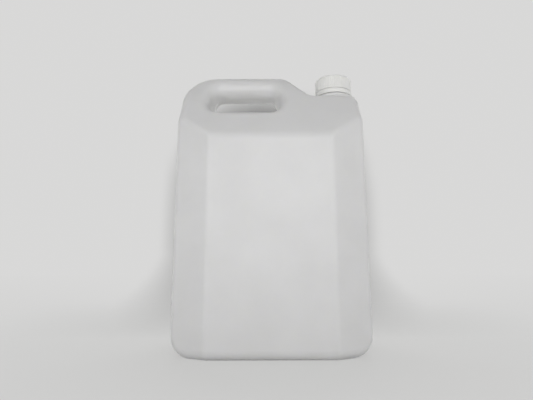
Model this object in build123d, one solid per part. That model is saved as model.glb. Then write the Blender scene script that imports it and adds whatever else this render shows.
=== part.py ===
from build123d import *
import math
import os

# Blow-moulded 5 litre jerrycan with a screw cap, in millimetres.
# It stands on z = 0. X runs along its width with the neck at +X, the front panel faces -Y.

# Overall form: a straight body with a leaning shoulder above it
can_width = 187.0
can_depth = 126.0
body_height = 207.0
shoulder_rise = 83.8
wall = 1.3

# Front and back: a flat panel between two shallow facets, and the depth left at the crest
panel_width = 119.0
facet_setback = 16.0
crest_depth = 22.0
shoulder_round = 15.0
edge_round = 9.0

# Top outline seen from the front: handle crest at the left, flat neck platform at the right
platform_drop = 28.3
platform_length = 50.0
crest_run = 26.0
handle_outer_round = 36.0
crest_end_round = 20.0
valley_round = 10.0
platform_round = 10.0

# Finger hole through the handle, drafted towards both faces
left_leg = 31.5
right_leg = 9.0
bar_height = 23.8
hole_height = 26.8
hole_corner = 9.0
hole_draft = 3.0
grip_round = 12.0

# Parting seam of the two mould halves
seam_height = 0.3
seam_width = 0.8

# Base: rounded corners at both sides, raised centre panel and the welded pinch-off line across it
base_round = 20.0
recess_margin = 28.0
recess_depth = 3.0
recess_corner = 16.0
recess_draft = 20.0
recess_rim_round = 2.0
weld_margin = 12.5
weld_width = 2.0
weld_height = 0.9

# Neck finish
neck_inset = 21.5
neck_radius = 16.9
neck_wall = 2.0
lip_round = 0.6
collar_height = 6.7
collar_round = 1.2
collar_overhang = 0.6
collar_root_round = 1.0
ridge_proud = 1.0
ridge_height = 2.2

# Closure
cap_height = 15.2
cap_skirt = 1.4
cap_top = 1.6
cap_edge_round = 2.2
thread_room = 1.5
groove_count = 60
groove_depth = 0.4
groove_margin = 1.4
liner_thickness = 1.2
liner_clearance = 0.4
seat_gap = 0.1
band_wall = 1.7
band_height = 5.0
band_drop = 0.6
band_lip = 1.3
band_play = 0.8
band_clearance = 0.4
bridge_gap = 0.6
bridge_count = 10
bridge_length = 1.4
bridge_clearance = 0.3

# Roundings that meet stay this share of one another, and directions agree this closely
round_share = 0.97
tolerance = 0.001

# Heights, radii and places that follow from the sizes above
can_height = body_height + shoulder_rise
platform_height = can_height - platform_drop
platform_start = can_width / 2 - platform_length
crest_end = platform_start - crest_run
hole_left = left_leg - can_width / 2
hole_right = crest_end - right_leg
hole_top = can_height - bar_height
hole_base = hole_top - hole_height
lean = math.atan2((can_depth - crest_depth) / 2, shoulder_rise)
rim_round = min(edge_round, round_share * min(platform_round, crest_end_round, handle_outer_round))
facet_run = (can_width - panel_width) / 2
facet_size = math.hypot(facet_run, facet_setback)
foot_round = min(base_round, round_share * facet_run * (1 - rim_round / facet_size))
neck_x = can_width / 2 - neck_inset
neck_foot = platform_height - platform_round
ridge_radius = neck_radius + ridge_proud
band_bore = ridge_radius + band_play
band_radius = band_bore + band_wall
collar_radius = band_radius + collar_overhang
cap_bore = neck_radius + thread_room
cap_radius = cap_bore + cap_skirt + groove_depth
collar_top = platform_height + collar_height
band_base = collar_top + band_drop
band_top = band_base + band_height
ridge_base = band_base + band_lip + band_clearance
cap_base = band_top + bridge_gap
cap_crown = cap_base + cap_height
liner_top = cap_crown - cap_top - seat_gap
liner_base = liner_top - liner_thickness
neck_top = liner_base - seat_gap


def rounded_face(corners):
    """A closed outline through (x, y, radius) corners."""
    outline = make_face(Polyline(*[(x, y) for x, y, radius in corners], close=True))
    for x, y, radius in corners:
        if radius > 0:
            outline = fillet(outline.vertices().sort_by_distance((x, y))[0], radius)
    return outline


def front_outline():
    """The can from the front: round base corners, handle crest, slope to the platform and its corner."""
    half = can_width / 2
    return rounded_face(
        [
            (-half, 0, foot_round),
            (-half, can_height, handle_outer_round),
            (crest_end, can_height, crest_end_round),
            (platform_start, platform_height, valley_round),
            (half, platform_height, platform_round),
            (half, 0, foot_round),
        ]
    )


def side_profile():
    """The can from the side: upright panels bending into the leaning shoulder."""
    half = can_depth / 2
    over = crest_depth / 4
    peak = half - (shoulder_rise + over) * math.tan(lean)
    return rounded_face(
        [
            (-half, -over, 0),
            (-half, body_height, shoulder_round),
            (-peak, can_height + over, 0),
            (peak, can_height + over, 0),
            (half, body_height, shoulder_round),
            (half, -over, 0),
        ]
    )


def facet_planes(inset):
    """The four upright facet planes, facing out and moved inwards by inset."""
    planes = []
    for x_side in (-1, 1):
        for y_side in (-1, 1):
            normal = Vector(x_side * facet_setback / facet_size, y_side * facet_run / facet_size, 0)
            corner = Vector(x_side * panel_width / 2, y_side * can_depth / 2, 0)
            planes.append(Plane(origin=corner - normal * inset, z_dir=normal))
    return planes


def shoulder_face(form, y_side):
    """The flat leaning shoulder face on one side of the can."""
    normal = Vector(0, y_side * math.cos(lean), math.sin(lean))
    flats = form.faces().filter_by(GeomType.PLANE)
    return max(flats, key=lambda face: face.normal_at().dot(normal))


def face_rims(form):
    """The edges round the panel, facets and shoulder of both faces, without the bends between them."""
    edges = form.edges().filter_by(lambda edge: abs(edge.center().Y) > tolerance)
    low, high = rim_round, platform_height - rim_round
    bends = edges.filter_by(Axis.X).filter_by(lambda edge: low < edge.center().Z < high)
    return ShapeList([edge for edge in edges if not any(edge.is_same(bend) for bend in bends)])


def grip_room(distance, rise):
    """The largest rounding of the hole's rim that leaves the can's own edge rounding its place.

    distance runs from the hole to that edge along a direction whose upward share is rise.
    """
    along = distance * math.hypot(math.sqrt(1 - rise**2), rise / math.cos(lean))
    tilt = math.asin(rise * math.sin(lean))
    edge_share = rim_round * math.tan((math.pi / 2 - tilt) / 2)
    return round_share * (along - edge_share) / math.tan((math.pi / 2 + tilt) / 2)


def grip_radius():
    """The rounding of the handle all round the finger hole."""
    slope = math.hypot(crest_run, platform_drop)
    out, up = platform_drop / slope, crest_run / slope
    corner_x, corner_z = hole_right - hole_corner, hole_top - hole_corner
    to_slope = (crest_end - corner_x) * out + (can_height - corner_z) * up - hole_corner
    return min(grip_round, grip_room(bar_height, 1), grip_room(left_leg, 0), grip_room(to_slope, up))


def hole_outline(grow):
    """The finger hole from the front, grown by an even margin."""
    mouth = Rectangle(hole_right - hole_left + 2 * grow, hole_height + 2 * grow)
    return Pos((hole_left + hole_right) / 2, (hole_top + hole_base) / 2) * fillet(
        mouth.vertices(), hole_corner + grow
    )


def finger_hole(inset):
    """The drafted opening under the handle bar, grown by inset."""
    half = Plane.XZ * hole_outline(inset)
    return extrude(half, can_depth, taper=-hole_draft) + extrude(half, -can_depth, taper=-hole_draft)


def base_recess(inset):
    """The hollow under the base, grown by inset."""
    length, width = can_width - 2 * recess_margin, can_depth - 2 * recess_margin
    mouth = Rectangle(length + 2 * inset, width + 2 * inset)
    mouth = fillet(mouth.vertices(), recess_corner + inset)
    return extrude(mouth, recess_depth + inset, taper=recess_draft)


def can_form(inset):
    """The can as a filled form, with every face moved inwards by inset."""
    front = offset(front_outline(), -inset) if inset else front_outline()
    side = offset(side_profile(), -inset) if inset else side_profile()
    form = extrude(Plane.XZ * front, can_depth, both=True)
    form &= extrude(Plane.YZ * side, can_width, both=True)
    for plane in facet_planes(inset):
        form = split(form, bisect_by=plane, keep=Keep.BOTTOM)
    form = fillet(face_rims(form), rim_round - inset)
    form -= finger_hole(inset)
    for y_side in (-1, 1):
        rim = shoulder_face(form, y_side).inner_wires()[0].edges()
        form = fillet(rim, grip_radius() - inset)
    return form - base_recess(inset)


def seam():
    """The fine ridge where the mould halves meet, from one base corner over the handle to the other."""
    plate = offset(front_outline(), seam_height) - hole_outline(-seam_height)
    plate = extrude(Plane.XZ * plate, seam_width / 2, both=True)
    return split(plate, bisect_by=Plane.XY.offset(foot_round), keep=Keep.TOP)


def turned(corners):
    """A solid of revolution about the neck axis, from (radius, height, rounding) corners."""
    return Pos(X=neck_x) * revolve(Plane.XZ * rounded_face(corners), Axis.Z)


def neck():
    """The outside of the neck: collar on the platform, snap ridge for the band and lip."""
    return turned(
        [
            (0, neck_foot, 0),
            (collar_radius, neck_foot, 0),
            (collar_radius, collar_top, collar_round),
            (neck_radius, collar_top, 0),
            (neck_radius, ridge_base, 0),
            (ridge_radius, ridge_base, 0),
            (neck_radius, ridge_base + ridge_height, 0),
            (neck_radius, neck_top, lip_round),
            (0, neck_top, 0),
        ]
    )


def neck_room():
    """The inside of the neck: the bore and the wider hollow of the collar."""
    bore_radius = neck_radius - neck_wall
    room_radius = collar_radius - wall
    return turned(
        [
            (0, neck_foot, 0),
            (room_radius, neck_foot, 0),
            (room_radius, collar_top - wall, collar_round),
            (bore_radius, collar_top - wall, 0),
            (bore_radius, neck_top, 0),
            (0, neck_top, 0),
        ]
    )


def is_collar_root(edge):
    """True for the edges where the collar stands on the platform."""
    point = edge.position_at(0.5)
    radius = math.hypot(point.X - neck_x, point.Y)
    return abs(radius - collar_radius) < tolerance and point.Z < platform_height + collar_height / 2


def can_body():
    """One blown shell: walls of even thickness, hollow handle, neck, seam and base weld."""
    outside = can_form(0)
    recess_rim = outside.faces().sort_by(Axis.Z)[0].inner_wires()[0].edges()
    outside = fillet(recess_rim, recess_rim_round) + neck()
    outside = fillet(outside.edges().filter_by(is_collar_root), collar_root_round) + seam()
    shell = outside - can_form(wall) - neck_room()
    weld_length = can_width - 2 * (recess_margin + weld_margin)
    weld_size = weld_height + wall / 2
    weld = Pos(Z=recess_depth - weld_height + weld_size / 2) * Box(weld_length, weld_width, weld_size)
    return shell + weld


def cap():
    """The screw cap with grip grooves round its skirt."""
    form = turned(
        [
            (0, cap_crown, 0),
            (cap_radius, cap_crown, cap_edge_round),
            (cap_radius, cap_base, 0),
            (cap_bore, cap_base, 0),
            (cap_bore, cap_crown - cap_top, 0),
            (0, cap_crown - cap_top, 0),
        ]
    )
    low, high = cap_base + groove_margin, cap_crown - cap_edge_round - groove_depth
    side = groove_depth * math.sqrt(2)
    groove = Pos(Z=(low + high) / 2) * Rot(Z=45) * Box(side, side, high - low)
    ring = Pos(X=neck_x) * PolarLocations(cap_radius, groove_count)
    return form - [place * groove for place in ring]


def cap_liner():
    """The sealing disc between the cap and the lip of the neck."""
    radius = cap_bore - liner_clearance
    return Pos(neck_x, 0, liner_base + liner_thickness / 2) * Cylinder(radius, liner_thickness)


def tamper_band():
    """The ring that stays under the snap ridge, with the stubs of its bridges on top."""
    lip_radius = neck_radius + band_clearance
    band = turned(
        [
            (lip_radius, band_base, 0),
            (band_radius, band_base, 0),
            (band_radius, band_top, 0),
            (band_bore, band_top, 0),
            (band_bore, band_base + band_lip, 0),
            (lip_radius, band_base + band_lip, 0),
        ]
    )
    height = bridge_gap - bridge_clearance
    stub = Pos(Z=band_top + height / 2) * Box(band_wall / 2, bridge_length, height)
    ring = Pos(X=neck_x) * PolarLocations(band_radius - band_wall / 2, bridge_count)
    return band + [place * stub for place in ring]


def main():
    os.makedirs("parts", exist_ok=True)
    for piece in (can_body, cap, cap_liner, tamper_band):
        export_step(piece(), f"parts/{piece.__name__}.step")


if __name__ == "__main__":
    main()
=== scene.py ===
import math

import bpy
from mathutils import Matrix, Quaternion, Vector


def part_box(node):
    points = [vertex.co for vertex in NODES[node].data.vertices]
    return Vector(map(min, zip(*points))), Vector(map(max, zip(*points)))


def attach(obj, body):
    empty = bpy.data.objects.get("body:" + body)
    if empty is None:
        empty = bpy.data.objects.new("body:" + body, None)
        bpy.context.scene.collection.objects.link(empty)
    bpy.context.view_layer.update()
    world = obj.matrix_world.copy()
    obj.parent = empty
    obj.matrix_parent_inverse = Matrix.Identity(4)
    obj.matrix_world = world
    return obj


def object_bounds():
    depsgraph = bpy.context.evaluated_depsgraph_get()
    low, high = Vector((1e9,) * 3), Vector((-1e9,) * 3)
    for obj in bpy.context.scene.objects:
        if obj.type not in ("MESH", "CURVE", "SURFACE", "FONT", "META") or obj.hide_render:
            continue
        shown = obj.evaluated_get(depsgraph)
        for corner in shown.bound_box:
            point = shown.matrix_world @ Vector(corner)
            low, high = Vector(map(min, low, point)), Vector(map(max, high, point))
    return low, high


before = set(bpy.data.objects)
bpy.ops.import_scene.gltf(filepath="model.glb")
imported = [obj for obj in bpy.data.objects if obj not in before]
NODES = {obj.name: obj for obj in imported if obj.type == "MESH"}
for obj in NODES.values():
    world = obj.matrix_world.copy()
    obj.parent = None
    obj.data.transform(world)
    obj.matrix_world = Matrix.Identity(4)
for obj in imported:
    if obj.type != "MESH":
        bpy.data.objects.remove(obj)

cad_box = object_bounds()

# Lengths are in metres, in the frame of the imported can: it stands on z = 0, the front faces -Y
MM = 0.001

# Camera that took the picture, in an image of 533 x 400 pixels; the sensor's width is in millimetres
IMAGE_WIDTH = 533
FOCAL_PIXELS = 399.0
SENSOR_WIDTH = 36.0
CAMERA_PLACE = (-4.2 * MM, -427.0 * MM, 77.3 * MM)
CAMERA_TILT = math.radians(10.15)
CAMERA_ROLL = math.radians(0.17)
CLIP_START = 0.01
CLIP_END = 100.0

# Surround: the colour that is seen, and the light that it gives
BACKDROP_COLOR = (0.690, 0.688, 0.684, 1.0)
SURROUND_COLOR = (1.0, 1.0, 1.0, 1.0)
SURROUND_LIGHT = 0.17

# Floor: its colour where it is looked at and where it lights the can
FLOOR_RADIUS = 9.0
FLOOR_RINGS = (0.4, 1.0, 2.2, 4.5, FLOOR_RADIUS)
FLOOR_SIDES = 96
FLOOR_COLOR = (0.80, 0.80, 0.79, 1.0)
FLOOR_BOUNCE = (0.60, 0.60, 0.60, 1.0)

# Floor's glow, painted darker beside the can as painted shade: its tone there, and the distance at which
# it is halfway to the backdrop's
FLOOR_PAINTED_SHADE_TONE = (0.62, 0.62, 0.615, 1.0)
FLOOR_FADE = 0.5

# Share of the glow in the floor beside the can, and the stretch of the fade in which it becomes the whole
GLOW_NEAR = 0.65
GLOW_FADE_START = 0.2
GLOW_FADE_END = 0.55

# Wall behind the can: it fades out past its half width and top, and over a height at its foot
WALL_GAP = 1.5 * MM
WALL_REACH = 0.45
WALL_HALF_WIDTH = 0.11
WALL_TOP = 0.32
WALL_FADE_START = 0.06
WALL_FADE_END = 0.20
WALL_FOOT_FADE = 0.11

# Shadow painted into the wall's glow where the can would throw shade: full where the wall is this closed
# in, none where it is this open
WALL_PAINTED_SHADOW = (0.19, 0.19, 0.187, 1.0)
SHADE_REACH = 0.10
SHADE_SAMPLES = 64
SHADE_CLOSED = 0.445
SHADE_OPEN = 0.76

# Lamps, with sizes in metres and powers in watts; the side and rear lamps stand in pairs, left and right
FRONT_LAMP_PLACE = (0.0, -0.64, 0.25)
FRONT_LAMP_TARGET = (0.0, 0.0, 0.19)
FRONT_LAMP_SIZE = (1.0, 0.45)
FRONT_LAMP_POWER = 3.05
LAMP_TARGET = (0.0, 0.0, 0.15)
SIDE_LAMP_PLACE = (1.1, -0.35, 0.16)
SIDE_LAMP_SIZE = (1.2, 0.8)
SIDE_LAMP_POWER = 1.6
BACK_LAMP_PLACE = (0.0, 0.62, 0.80)
BACK_LAMP_SIZE = (1.0, 0.6)
BACK_LAMP_POWER = 4.2
REAR_LAMP_PLACE = (1.0, 0.45, 0.16)
REAR_LAMP_SIZE = (0.7, 0.5)
REAR_LAMP_POWER = 3.2

# Screw thread of the neck and the cap: right-hand, single start, its foot sunk into the wall that bears it
THREAD_PITCH = 4.0 * MM
THREAD_SUNK = 0.15 * MM
THREAD_ROOT_WIDTH = 2.2 * MM
THREAD_CREST_WIDTH = 1.0 * MM
NECK_RADIUS = 16.9 * MM
NECK_THREAD_RISE = 0.95 * MM
NECK_THREAD_LOW = 277.0 * MM
NECK_THREAD_TURNS = 1.75
CAP_BORE = 18.4 * MM
CAP_THREAD_RISE = 1.05 * MM
CAP_THREAD_LOW = 279.0 * MM
CAP_THREAD_TURNS = 1.5
OUTWARD = 1.0
INWARD = -1.0

# Steps in a turn of the thread; with this runout each end tapers over a tenth of it, down to a share
THREAD_STEPS = 72
THREAD_RUNOUT = 5.0
THREAD_END_SHARE = 0.2

# Most values of a noise texture lie between these two
NOISE_LOW = 0.35
NOISE_HIGH = 0.65

# Places of the colour sockets on Blender's Mix node
MIX_FACTOR = 0
MIX_FIRST = 6
MIX_SECOND = 7
MIX_RESULT = 2


class Nodes:
    """A node tree of a material, the world or a thread, with short calls to add and join nodes."""

    def __init__(self, tree):
        self.tree = tree
        tree.nodes.clear()

    def add(self, kind, values=None, **settings):
        """A new node; each value is a number or colour for a socket, or another node's output."""
        node = self.tree.nodes.new(kind)
        for key, value in settings.items():
            setattr(node, key, value)
        for key, value in (values or {}).items():
            socket = node.inputs[key]
            if isinstance(value, bpy.types.NodeSocket):
                self.tree.links.new(value, socket)
            else:
                socket.default_value = value
        return node

    def place(self):
        """Coordinates that stay with the piece."""
        return self.add("ShaderNodeTexCoord").outputs["Object"]

    def math(self, operation, *values, clamp=False):
        inputs = dict(enumerate(values))
        return self.add("ShaderNodeMath", inputs, operation=operation, use_clamp=clamp).outputs[0]

    def noise(self, place, scale, detail=2.0, roughness=0.5):
        values = {"Vector": place, "Scale": scale, "Detail": detail, "Roughness": roughness}
        return self.add("ShaderNodeTexNoise", values).outputs["Fac"]

    def spread(self, value, low, high, start=NOISE_LOW, end=NOISE_HIGH):
        """Goes from low to high while the value goes from start to end, and is level outside them."""
        values = {"Value": value, "From Min": start, "From Max": end, "To Min": low, "To Max": high}
        return self.add("ShaderNodeMapRange", values).outputs["Result"]

    def blend(self, factor, first, second):
        values = {MIX_FACTOR: factor, MIX_FIRST: first, MIX_SECOND: second}
        return self.add("ShaderNodeMix", values, data_type="RGBA").outputs[MIX_RESULT]

    def relief(self, height):
        """A surface normal that shows heights given in metres."""
        values = {"Height": height, "Strength": 1.0, "Distance": 1.0}
        return self.add("ShaderNodeBump", values).outputs["Normal"]

    def plastic(self, values):
        """The surface of a plastic piece, joined to the material's output."""
        surface = self.add("ShaderNodeBsdfPrincipled", values)
        self.add("ShaderNodeOutputMaterial", {"Surface": surface.outputs["BSDF"]})


def new_material(name):
    material = bpy.data.materials.new(name)
    material.use_nodes = True
    return material, Nodes(material.node_tree)


def natural_polyethylene():
    """Milky blown polyethylene: cloudy wall, faintly wavy flats and a fine blasted grain."""
    dull = (0.742, 0.740, 0.730, 1.0)
    bright = (0.772, 0.770, 0.758, 1.0)
    wave_height = 0.35 * MM
    grain_height = 0.012 * MM
    material, shader = new_material("natural_polyethylene_finish")
    place = shader.place()
    cloud = shader.noise(place, scale=22.0, detail=3.0)
    wave = shader.noise(place, scale=45.0, detail=1.0)
    grain = shader.noise(place, scale=2600.0, roughness=0.6)
    waves = shader.math("MULTIPLY", wave, wave_height)
    height = shader.math("MULTIPLY_ADD", grain, grain_height, waves)
    shader.plastic(
        {
            "Base Color": shader.blend(shader.spread(cloud, 0.0, 1.0), dull, bright),
            "Roughness": shader.spread(cloud, low=0.41, high=0.35),
            "IOR": 1.54,
            "Subsurface Weight": 1.0,
            "Subsurface Radius": (1.0, 1.0, 0.92),
            "Subsurface Scale": 3.0 * MM,
            "Normal": shader.relief(height),
        }
    )
    return material


def white_cap_plastic():
    """Injection-moulded white plastic, opaque, with a satin skin."""
    dull = (0.825, 0.825, 0.805, 1.0)
    bright = (0.850, 0.850, 0.830, 1.0)
    grain_height = 0.006 * MM
    material, shader = new_material("white_cap_plastic_finish")
    place = shader.place()
    cloud = shader.noise(place, scale=90.0)
    grain = shader.noise(place, scale=4000.0, roughness=0.6)
    height = shader.math("MULTIPLY", grain, grain_height)
    shader.plastic(
        {
            "Base Color": shader.blend(shader.spread(cloud, 0.0, 1.0), dull, bright),
            "Roughness": shader.spread(cloud, low=0.30, high=0.38),
            "IOR": 1.5,
            "Subsurface Weight": 0.25,
            "Subsurface Radius": (1.0, 1.0, 0.9),
            "Subsurface Scale": 0.8 * MM,
            "Normal": shader.relief(height),
        }
    )
    return material


def liner_foam():
    """Expanded polyethylene wad: white and matte, with fine closed cells."""
    cell_middle = (0.80, 0.80, 0.78, 1.0)
    cell_edge = (0.70, 0.70, 0.68, 1.0)
    cell_height = 0.05 * MM
    material, shader = new_material("liner_foam_finish")
    pattern = {"Vector": shader.place(), "Scale": 2200.0}
    cells = shader.add("ShaderNodeTexVoronoi", pattern).outputs["Distance"]
    edge = shader.spread(cells, 0.0, 1.0, start=0.1, end=0.7)
    height = shader.math("MULTIPLY", cells, cell_height)
    shader.plastic(
        {
            "Base Color": shader.blend(edge, cell_middle, cell_edge),
            "Roughness": 0.8,
            "Normal": shader.relief(height),
        }
    )
    return material


def studio_floor_with_painted_shade():
    """Pale matte floor that keeps the can's shadow, with a glow painted darker near the can as painted
    shade, fading into the backdrop far away.
    """
    material, shader = new_material("studio_floor_with_painted_shade")
    distance = shader.add("ShaderNodeVectorMath", {0: shader.place()}, operation="LENGTH").outputs["Value"]
    path = shader.add("ShaderNodeLightPath").outputs
    looked_at = shader.math("MAXIMUM", path["Is Camera Ray"], path["Is Glossy Ray"])
    fade = shader.math("DIVIDE", distance, shader.math("ADD", distance, FLOOR_FADE))
    glow_share = shader.spread(fade, GLOW_NEAR, 1.0, GLOW_FADE_START, GLOW_FADE_END)
    seen = shader.math("MULTIPLY", looked_at, glow_share)
    lit = shader.blend(looked_at, FLOOR_BOUNCE, FLOOR_COLOR)
    matte = shader.add("ShaderNodeBsdfDiffuse", {"Color": lit})
    # Painted shade: the floor's glow is darker near the can and takes the backdrop's tone far away
    painted_shade_glow = shader.blend(fade, FLOOR_PAINTED_SHADE_TONE, BACKDROP_COLOR)
    shown_emission = shader.add("ShaderNodeEmission", {"Color": painted_shade_glow, "Strength": 1.0})
    mix = shader.add("ShaderNodeMixShader", {0: seen, 1: matte.outputs[0], 2: shown_emission.outputs[0]})
    shader.add("ShaderNodeOutputMaterial", {"Surface": mix.outputs[0]})
    return material


def studio_wall_with_painted_shadow():
    """Pale glowing wall, seen from its front alone: a painted shadow makes it darker where the can stands
    close; it fades out all round.
    """
    material, shader = new_material("studio_wall_with_painted_shadow")
    part = shader.add("ShaderNodeSeparateXYZ", {"Vector": shader.place()}).outputs
    reach = {"Distance": SHADE_REACH}
    # Painted shadow: how closely the can hems in each point of the wall sets how dark its glow is painted
    # there
    openness = shader.add("ShaderNodeAmbientOcclusion", reach, samples=SHADE_SAMPLES).outputs["AO"]
    light = shader.spread(openness, 0.0, 1.0, SHADE_CLOSED, SHADE_OPEN)
    painted_shadow_tone = shader.blend(light, WALL_PAINTED_SHADOW, BACKDROP_COLOR)
    shown_emission = shader.add("ShaderNodeEmission", {"Color": painted_shadow_tone, "Strength": 1.0})
    beside = shader.math("SUBTRACT", shader.math("ABSOLUTE", part["X"]), WALL_HALF_WIDTH)
    outside = shader.math("MAXIMUM", beside, shader.math("SUBTRACT", part["Z"], WALL_TOP))
    near = shader.spread(outside, 1.0, 0.0, WALL_FADE_START, WALL_FADE_END)
    above = shader.spread(part["Z"], 0.0, 1.0, 0.0, WALL_FOOT_FADE)
    front = shader.math("SUBTRACT", 1.0, shader.add("ShaderNodeNewGeometry").outputs["Backfacing"])
    seen = shader.math("MULTIPLY", shader.add("ShaderNodeLightPath").outputs["Is Camera Ray"], front)
    share = shader.math("MULTIPLY", seen, shader.math("MULTIPLY", near, above))
    clear = shader.add("ShaderNodeBsdfTransparent")
    mix = shader.add("ShaderNodeMixShader", {0: share, 1: clear.outputs[0], 2: shown_emission.outputs[0]})
    shader.add("ShaderNodeOutputMaterial", {"Surface": mix.outputs[0]})
    return material


def thread_sockets(tree):
    """The named sizes and the material that a thread is made from."""
    lengths = ("Radius", "Height", "Root Width", "Crest Width", "Rise", "Axis X", "Low")
    for name in (*lengths, "Turns", "Side", "Runout"):
        tree.interface.new_socket(name, in_out="INPUT", socket_type="NodeSocketFloat")
    tree.interface.new_socket("Material", in_out="INPUT", socket_type="NodeSocketMaterial")
    tree.interface.new_socket("Geometry", in_out="OUTPUT", socket_type="NodeSocketGeometry")


def thread_helix(build, given):
    """The line that the thread follows, rising as a right-hand screw."""
    helix = build.add(
        "GeometryNodeCurveSpiral",
        {
            "Resolution": THREAD_STEPS,
            "Rotations": given["Turns"],
            "Start Radius": given["Radius"],
            "End Radius": given["Radius"],
            "Height": given["Height"],
            "Reverse": True,
        },
    )
    level = build.add("GeometryNodeSetCurveNormal", {"Curve": helix.outputs["Curve"]}, mode="Z_UP")
    return level.outputs["Curve"]


def thread_profile(build, given):
    """The ridge's section, with its root on the helix and its crest outward or inward."""
    ridge = build.add(
        "GeometryNodeCurvePrimitiveQuadrilateral",
        {
            "Bottom Width": given["Root Width"],
            "Top Width": given["Crest Width"],
            "Height": given["Rise"],
            "Offset": 0.0,
        },
        mode="TRAPEZOID",
    )
    half_rise = build.math("MULTIPLY", build.math("MULTIPLY", given["Rise"], 0.5), given["Side"])
    root_to_crest = build.add("ShaderNodeCombineXYZ", {"X": half_rise})
    facing = build.add("ShaderNodeCombineXYZ", {"Z": build.math("MULTIPLY", given["Side"], -math.pi / 2)})
    turned = build.add(
        "GeometryNodeTransform",
        {
            "Geometry": ridge.outputs["Curve"],
            "Translation": root_to_crest.outputs["Vector"],
            "Rotation": facing.outputs["Vector"],
        },
    )
    return turned.outputs["Geometry"]


def thread_taper(build, given):
    """The section's size along the thread: whole in the middle, small at both ends."""
    along = build.add("GeometryNodeSplineParameter").outputs["Factor"]
    from_middle = build.math("ABSOLUTE", build.math("MULTIPLY_ADD", along, 2.0, -1.0))
    from_end = build.math("SUBTRACT", 1.0, from_middle)
    runout = build.math("MULTIPLY", from_end, given["Runout"], clamp=True)
    return build.spread(runout, THREAD_END_SHARE, 1.0, start=0.0, end=1.0)


def thread_tree():
    """Geometry Nodes: a tapered ridge wound as a helix round the neck's axis."""
    tree = bpy.data.node_groups.new("screw_thread", "GeometryNodeTree")
    thread_sockets(tree)
    build = Nodes(tree)
    given = build.add("NodeGroupInput").outputs
    wound = build.add(
        "GeometryNodeCurveToMesh",
        {
            "Curve": thread_helix(build, given),
            "Profile Curve": thread_profile(build, given),
            "Scale": thread_taper(build, given),
            "Fill Caps": True,
        },
    )
    shift = build.add("ShaderNodeCombineXYZ", {"X": given["Axis X"], "Z": given["Low"]})
    placing = {"Geometry": wound.outputs["Mesh"], "Translation": shift.outputs["Vector"]}
    placed = build.add("GeometryNodeTransform", placing)
    real = build.add("GeometryNodeRealizeInstances", {"Geometry": placed.outputs["Geometry"]})
    dressing = {"Geometry": real.outputs["Geometry"], "Material": given["Material"]}
    dressed = build.add("GeometryNodeSetMaterial", dressing)
    build.add("NodeGroupOutput", {"Geometry": dressed.outputs["Geometry"]})
    return tree


def neck_axis():
    """The x of the neck's axis, which the cap turns about."""
    low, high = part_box("cap")
    return (low.x + high.x) / 2


def wind_thread(tree, name, sizes, finish):
    """One thread as a plain mesh, made by the thread tree from named sizes."""
    shared = {
        "Height": sizes["Turns"] * THREAD_PITCH,
        "Root Width": THREAD_ROOT_WIDTH,
        "Crest Width": THREAD_CREST_WIDTH,
        "Axis X": neck_axis(),
        "Runout": THREAD_RUNOUT,
        "Material": finish,
    }
    inputs = {**shared, **sizes}
    carrier = bpy.data.objects.new(name + "_carrier", bpy.data.meshes.new(name + "_carrier"))
    bpy.context.scene.collection.objects.link(carrier)
    modifier = carrier.modifiers.new("thread", "NODES")
    modifier.node_group = tree
    for item in tree.interface.items_tree:
        if item.in_out == "INPUT":
            modifier[item.identifier] = inputs[item.name]
    graph = bpy.context.evaluated_depsgraph_get()
    mesh = bpy.data.meshes.new_from_object(carrier.evaluated_get(graph))
    bpy.data.objects.remove(carrier)
    mesh.name = name
    thread = bpy.data.objects.new(name, mesh)
    bpy.context.scene.collection.objects.link(thread)
    return thread


def add_neck_thread(tree, finish):
    """The ridge round the outside of the neck."""
    sizes = {
        "Radius": NECK_RADIUS - THREAD_SUNK,
        "Turns": NECK_THREAD_TURNS,
        "Rise": NECK_THREAD_RISE,
        "Side": OUTWARD,
        "Low": NECK_THREAD_LOW,
    }
    neck_thread = wind_thread(tree, "neck_thread", sizes, finish)
    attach(neck_thread, "can")


def add_cap_thread(tree, finish):
    """The ridge inside the cap's skirt, which winds between the turns of the neck's."""
    sizes = {
        "Radius": CAP_BORE + THREAD_SUNK,
        "Turns": CAP_THREAD_TURNS,
        "Rise": CAP_THREAD_RISE,
        "Side": INWARD,
        "Low": CAP_THREAD_LOW,
    }
    cap_thread = wind_thread(tree, "cap_thread", sizes, finish)
    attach(cap_thread, "cap")


def dress_can():
    """The CAD pieces in their finishes, and the two screw threads."""
    can_finish = natural_polyethylene()
    cap_finish = white_cap_plastic()
    finishes = {
        "can_body": can_finish,
        "cap": cap_finish,
        "tamper_band": cap_finish,
        "cap_liner": liner_foam(),
    }
    for node, finish in finishes.items():
        NODES[node].material_slots[0].material = finish
    tree = thread_tree()
    add_neck_thread(tree, can_finish)
    add_cap_thread(tree, cap_finish)


def add_floor():
    """A wide flat disc under the can."""
    points = [(0.0, 0.0, 0.0)]
    faces = []
    for radius in FLOOR_RINGS:
        for side in range(FLOOR_SIDES):
            angle = 2 * math.pi * side / FLOOR_SIDES
            points.append((radius * math.cos(angle), radius * math.sin(angle), 0.0))
    for side in range(FLOOR_SIDES):
        follow = (side + 1) % FLOOR_SIDES
        faces.append((0, 1 + side, 1 + follow))
        for ring in range(len(FLOOR_RINGS) - 1):
            inner = 1 + ring * FLOOR_SIDES
            outer = inner + FLOOR_SIDES
            faces.append((inner + side, outer + side, outer + follow, inner + follow))
    mesh = bpy.data.meshes.new("studio_floor")
    mesh.from_pydata(points, [], faces)
    mesh.materials.append(studio_floor_with_painted_shade())
    floor = bpy.data.objects.new("studio_floor", mesh)
    bpy.context.scene.collection.objects.link(floor)


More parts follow.
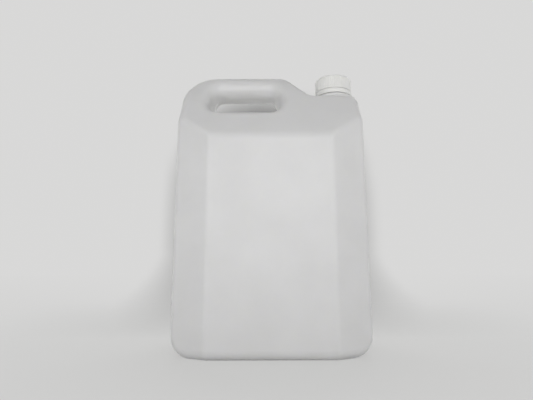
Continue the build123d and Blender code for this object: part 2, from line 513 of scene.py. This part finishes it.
def add_wall():
    """An upright pale wall that the can's back nearly touches, facing the camera."""
    y = cad_box[1].y + WALL_GAP
    top = 2 * WALL_REACH
    corners = [(-WALL_REACH, 0.0), (WALL_REACH, 0.0), (WALL_REACH, top), (-WALL_REACH, top)]
    mesh = bpy.data.meshes.new("studio_wall")
    mesh.from_pydata([(x, y, z) for x, z in corners], [], [(0, 1, 2, 3)])
    mesh.materials.append(studio_wall_with_painted_shadow())
    wall = bpy.data.objects.new("studio_wall", mesh)
    bpy.context.scene.collection.objects.link(wall)


def add_world():
    """An even pale surround: dim light from all sides, and the backdrop's colour where it is seen."""
    world = bpy.data.worlds.new("studio")
    world.use_nodes = True
    shader = Nodes(world.node_tree)
    path = shader.add("ShaderNodeLightPath").outputs
    mirrored = shader.math("MAXIMUM", path["Is Glossy Ray"], path["Is Transmission Ray"])
    seen = shader.math("MAXIMUM", path["Is Camera Ray"], mirrored)
    light = shader.add("ShaderNodeBackground", {"Color": SURROUND_COLOR, "Strength": SURROUND_LIGHT})
    shown_emission = shader.add("ShaderNodeBackground", {"Color": BACKDROP_COLOR, "Strength": 1.0})
    mix = shader.add("ShaderNodeMixShader", {0: seen, 1: light.outputs[0], 2: shown_emission.outputs[0]})
    shader.add("ShaderNodeOutputWorld", {"Surface": mix.outputs[0]})
    bpy.context.scene.world = world


def add_softbox(name, place, target, size, power, mirrored=True):
    """A large rectangular lamp that the camera doesn't see; one that isn't mirrored makes no glints."""
    lamp = bpy.data.lights.new(name, "AREA")
    lamp.shape = "RECTANGLE"
    lamp.size, lamp.size_y = size
    lamp.energy = power
    softbox = bpy.data.objects.new(name, lamp)
    softbox.location = place
    softbox.rotation_mode = "QUATERNION"
    softbox.rotation_quaternion = (Vector(target) - Vector(place)).to_track_quat("-Z", "Y")
    softbox.visible_camera = False
    softbox.visible_glossy = mirrored
    bpy.context.scene.collection.objects.link(softbox)


def add_softbox_pair(kind, place, size, power, mirrored=True):
    """Two equal lamps, left and right of the can; the place is that of the right one."""
    x, y, z = place
    add_softbox("left_" + kind, (-x, y, z), LAMP_TARGET, size, power, mirrored)
    add_softbox("right_" + kind, place, LAMP_TARGET, size, power, mirrored)


def add_lamps():
    """Soft light from the front and both sides, and light from behind that makes no glints."""
    add_softbox("front_softbox", FRONT_LAMP_PLACE, FRONT_LAMP_TARGET, FRONT_LAMP_SIZE, FRONT_LAMP_POWER)
    add_softbox_pair("softbox", SIDE_LAMP_PLACE, SIDE_LAMP_SIZE, SIDE_LAMP_POWER)
    add_softbox(
        "back_softbox", BACK_LAMP_PLACE, LAMP_TARGET, BACK_LAMP_SIZE, BACK_LAMP_POWER, mirrored=False
    )
    add_softbox_pair("rear_softbox", REAR_LAMP_PLACE, REAR_LAMP_SIZE, REAR_LAMP_POWER, mirrored=False)


def add_camera():
    """The picture's camera: in front of the can, below its middle, looking slightly up."""
    lens = bpy.data.cameras.new("camera")
    lens.sensor_fit = "HORIZONTAL"
    lens.sensor_width = SENSOR_WIDTH
    lens.lens = FOCAL_PIXELS / IMAGE_WIDTH * SENSOR_WIDTH
    lens.clip_start = CLIP_START
    lens.clip_end = CLIP_END
    camera = bpy.data.objects.new("camera", lens)
    camera.location = CAMERA_PLACE
    camera.rotation_mode = "QUATERNION"
    tilt = Quaternion((1, 0, 0), math.pi / 2 + CAMERA_TILT)
    camera.rotation_quaternion = tilt @ Quaternion((0, 0, 1), -CAMERA_ROLL)
    bpy.context.scene.collection.objects.link(camera)
    bpy.context.scene.camera = camera


dress_can()
add_floor()
add_wall()
add_world()
add_lamps()
add_camera()

bpy.context.scene.view_settings.view_transform = "Standard"
